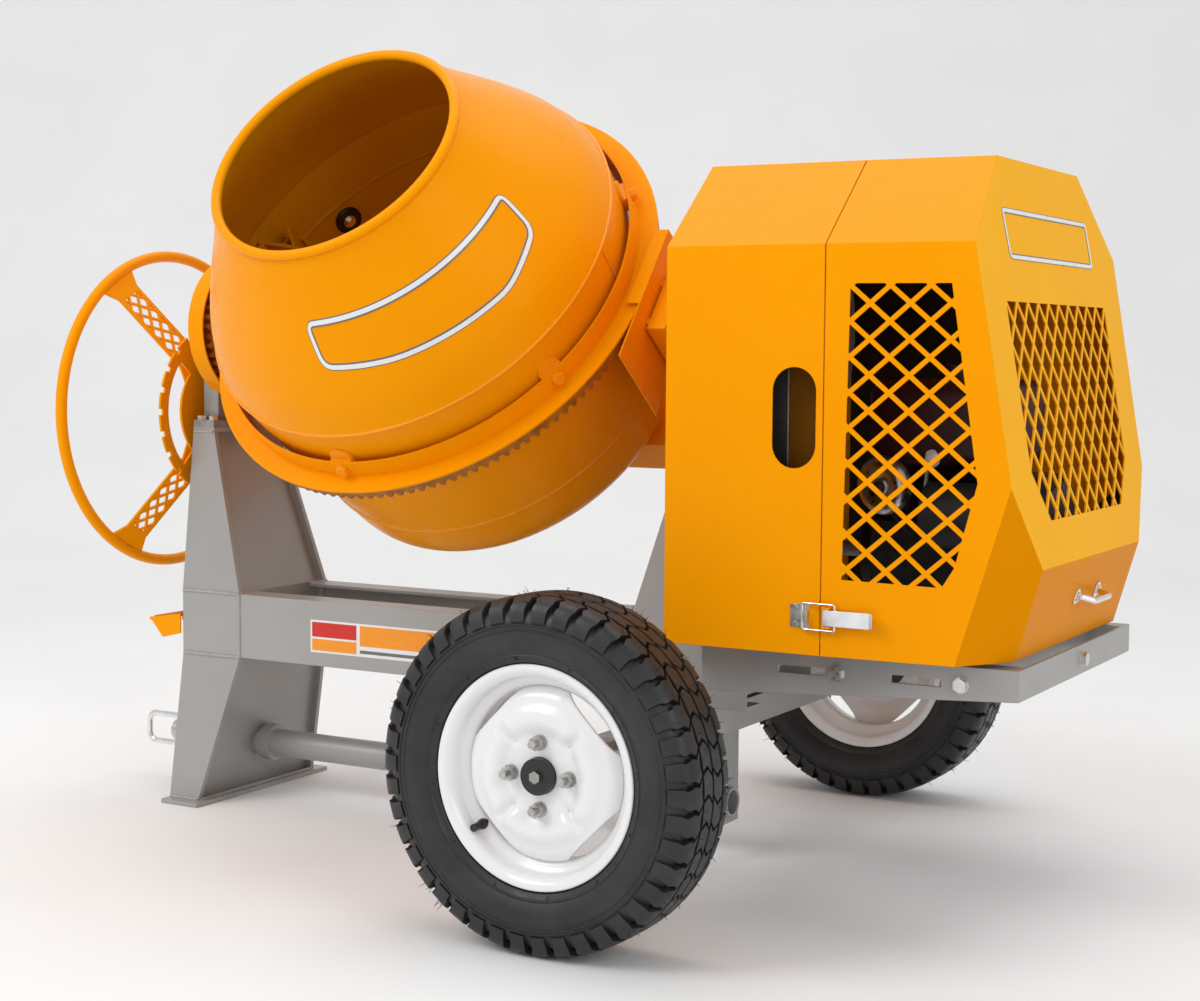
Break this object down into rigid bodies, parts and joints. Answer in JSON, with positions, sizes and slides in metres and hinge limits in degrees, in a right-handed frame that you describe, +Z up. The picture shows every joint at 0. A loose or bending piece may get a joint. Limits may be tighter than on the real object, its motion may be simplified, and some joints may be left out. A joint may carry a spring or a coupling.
{
  "type": "concrete mixer",
  "caption": "Towable tilting-drum concrete mixer with engine housing, tilt handwheel, toothed drum ring, two road wheels, front foot and sliding tow bar.",
  "frame": {"origin": "centre of the overall box at ground level", "axes": "+X along the machine towards the engine end, -Y the side the drum mouth faces, +Z up"},
  "size_m": [2.013, 1.397, 1.4114],
  "materials": {
    "orange_paint": "gloss",
    "grey_paint": "satin",
    "cast_grey": "matte",
    "zinc": "satin",
    "steel": "satin",
    "tyre_rubber": "matte",
    "rim_white": "gloss",
    "hub_black": "satin",
    "belt_rubber": "matte",
    "engine_alloy": "satin",
    "engine_black": "satin",
    "engine_red": "gloss",
    "muffler_steel": "satin"
  },
  "bodies": {
    "chassis": {"main_frame": "grey_paint", "left_pylon": "grey_paint", "right_pylon": "grey_paint", "foot_plate": "grey_paint", "axle_beam": "grey_paint", "stub_axles": "steel", "tow_tube": "grey_paint", "engine_frame": "grey_paint", "frame_bolts": "zinc", "engine_rails": "grey_paint", "bearing_blocks": "cast_grey", "bearing_bolts": "zinc", "gear_guard": "orange_paint", "belt_cover": "orange_paint", "latch_strikes": "zinc", "hood_hinge_fixed": "orange_paint", "engine_block": "engine_alloy", "engine_shroud": "engine_black", "fuel_tank": "engine_red", "air_filter": "engine_black", "muffler": "muffler_steel", "v_belts": "belt_rubber"},
    "yoke": {"yoke_frame": "orange_paint", "trunnion_left": "steel", "trunnion_right": "steel", "drum_bearing": "cast_grey", "tilt_gear": "orange_paint", "pinion_guard": "orange_paint", "yoke_bolts": "zinc"},
    "drum": {"drum_upper": "orange_paint", "drum_lower": "orange_paint", "ring_angle": "orange_paint", "ring_fixings": "zinc", "ring_gear": "orange_paint", "drum_spindle": "steel", "paddles": "orange_paint"},
    "countershaft": {"countershaft": "steel", "bevel_pinion": "cast_grey", "driven_pulley": "cast_grey"},
    "crank": {"drive_pulley": "cast_grey"},
    "handwheel": {"handwheel_rim": "orange_paint", "handwheel_spokes": "orange_paint", "index_ring": "orange_paint", "tilt_pinion": "orange_paint"},
    "wheel_near": {"tyre_near": "tyre_rubber", "rim_near": "rim_white", "hub_near": "hub_black"},
    "wheel_far": {"tyre_far": "tyre_rubber", "rim_far": "rim_white", "hub_far": "hub_black"},
    "hood": {"hood_shell": "orange_paint", "hood_handle": "zinc", "hood_hinge_moving": "orange_paint"},
    "latch_lever_near": {"latch_lever_near": "zinc"},
    "latch_bail_near": {"latch_bail_near": "zinc"},
    "latch_lever_far": {"latch_lever_far": "zinc"},
    "latch_bail_far": {"latch_bail_far": "zinc"},
    "lock_pedal": {"lock_pedal": "orange_paint"},
    "tow_bar": {"tow_bar": "zinc"},
    "tow_loop": {"tow_loop": "zinc"}
  },
  "joints": [
    {"name": "tilt", "type": "hinge", "parent": "chassis", "child": "yoke", "pos_m": [-0.21035, -0.025, 0.931], "axis": [1, 0, 0], "range_deg": [-42, 83]},
    {"name": "handwheel_turn", "type": "hinge", "parent": "chassis", "child": "handwheel", "pos_m": [-0.93, 0, 0.76487], "axis": [1, 0, 0], "range_deg": [-207.5, 105]},
    {"name": "drum_spin", "type": "hinge", "parent": "yoke", "child": "drum", "pos_m": [-0.21035, -0.025, 0.931], "axis": [0, -0.788, 0.6157], "continuous": true},
    {"name": "countershaft_spin", "type": "hinge", "parent": "yoke", "child": "countershaft", "pos_m": [0.3, -0.025, 0.931], "axis": [1, 0, 0], "continuous": true},
    {"name": "crank_spin", "type": "hinge", "parent": "chassis", "child": "crank", "pos_m": [0.47565, 0.01, 0.56], "axis": [1, 0, 0], "continuous": true},
    {"name": "wheel_near_spin", "type": "hinge", "parent": "chassis", "child": "wheel_near", "pos_m": [0.36565, -0.626, 0.268], "axis": [0, 1, 0], "continuous": true},
    {"name": "wheel_far_spin", "type": "hinge", "parent": "chassis", "child": "wheel_far", "pos_m": [0.36565, 0.626, 0.268], "axis": [0, 1, 0], "continuous": true},
    {"name": "hood_lift", "type": "hinge", "parent": "chassis", "child": "hood", "pos_m": [0.68265, 0, 1.1965], "axis": [0, -1, 0], "range_deg": [0, 75]},
    {"name": "latch_near_turn", "type": "hinge", "parent": "hood", "child": "latch_lever_near", "pos_m": [0.69565, -0.377, 0.494], "axis": [0, 0, -1], "range_deg": [0, 100]},
    {"name": "bail_near_turn", "type": "hinge", "parent": "latch_lever_near", "child": "latch_bail_near", "pos_m": [0.70965, -0.38, 0.494], "axis": [0, 0, 1], "range_deg": [0, 120]},
    {"name": "latch_far_turn", "type": "hinge", "parent": "hood", "child": "latch_lever_far", "pos_m": [0.69565, 0.377, 0.494], "axis": [0, 0, 1], "range_deg": [0, 100]},
    {"name": "bail_far_turn", "type": "hinge", "parent": "latch_lever_far", "child": "latch_bail_far", "pos_m": [0.70965, 0.38, 0.494], "axis": [0, 0, -1], "range_deg": [0, 120]},
    {"name": "pedal_press", "type": "slide", "parent": "chassis", "child": "lock_pedal", "axis": [0, 0, -1], "range_m": [0, 0.03], "stiffness_N_per_m": 700, "springref_m": -0.02},
    {"name": "tow_slide", "type": "slide", "parent": "chassis", "child": "tow_bar", "axis": [-1, 0, 0], "range_m": [0, 0.8]},
    {"name": "tow_loop_swing", "type": "hinge", "parent": "tow_bar", "child": "tow_loop", "pos_m": [-0.90435, 0, 0.098], "axis": [0, 0, 1], "range_deg": [-90, 90]}
  ],
  "couplings": [
    {"joint": "handwheel_turn", "follows": "tilt", "ratio": -2.5},
    {"joint": "countershaft_spin", "follows": "drum_spin", "ratio": -5.5833},
    {"joint": "crank_spin", "follows": "drum_spin", "ratio": -24.343},
    {"joint": "bail_near_turn", "follows": "latch_near_turn", "ratio": 1.2},
    {"joint": "bail_far_turn", "follows": "latch_far_turn", "ratio": 1.2}
  ]
}
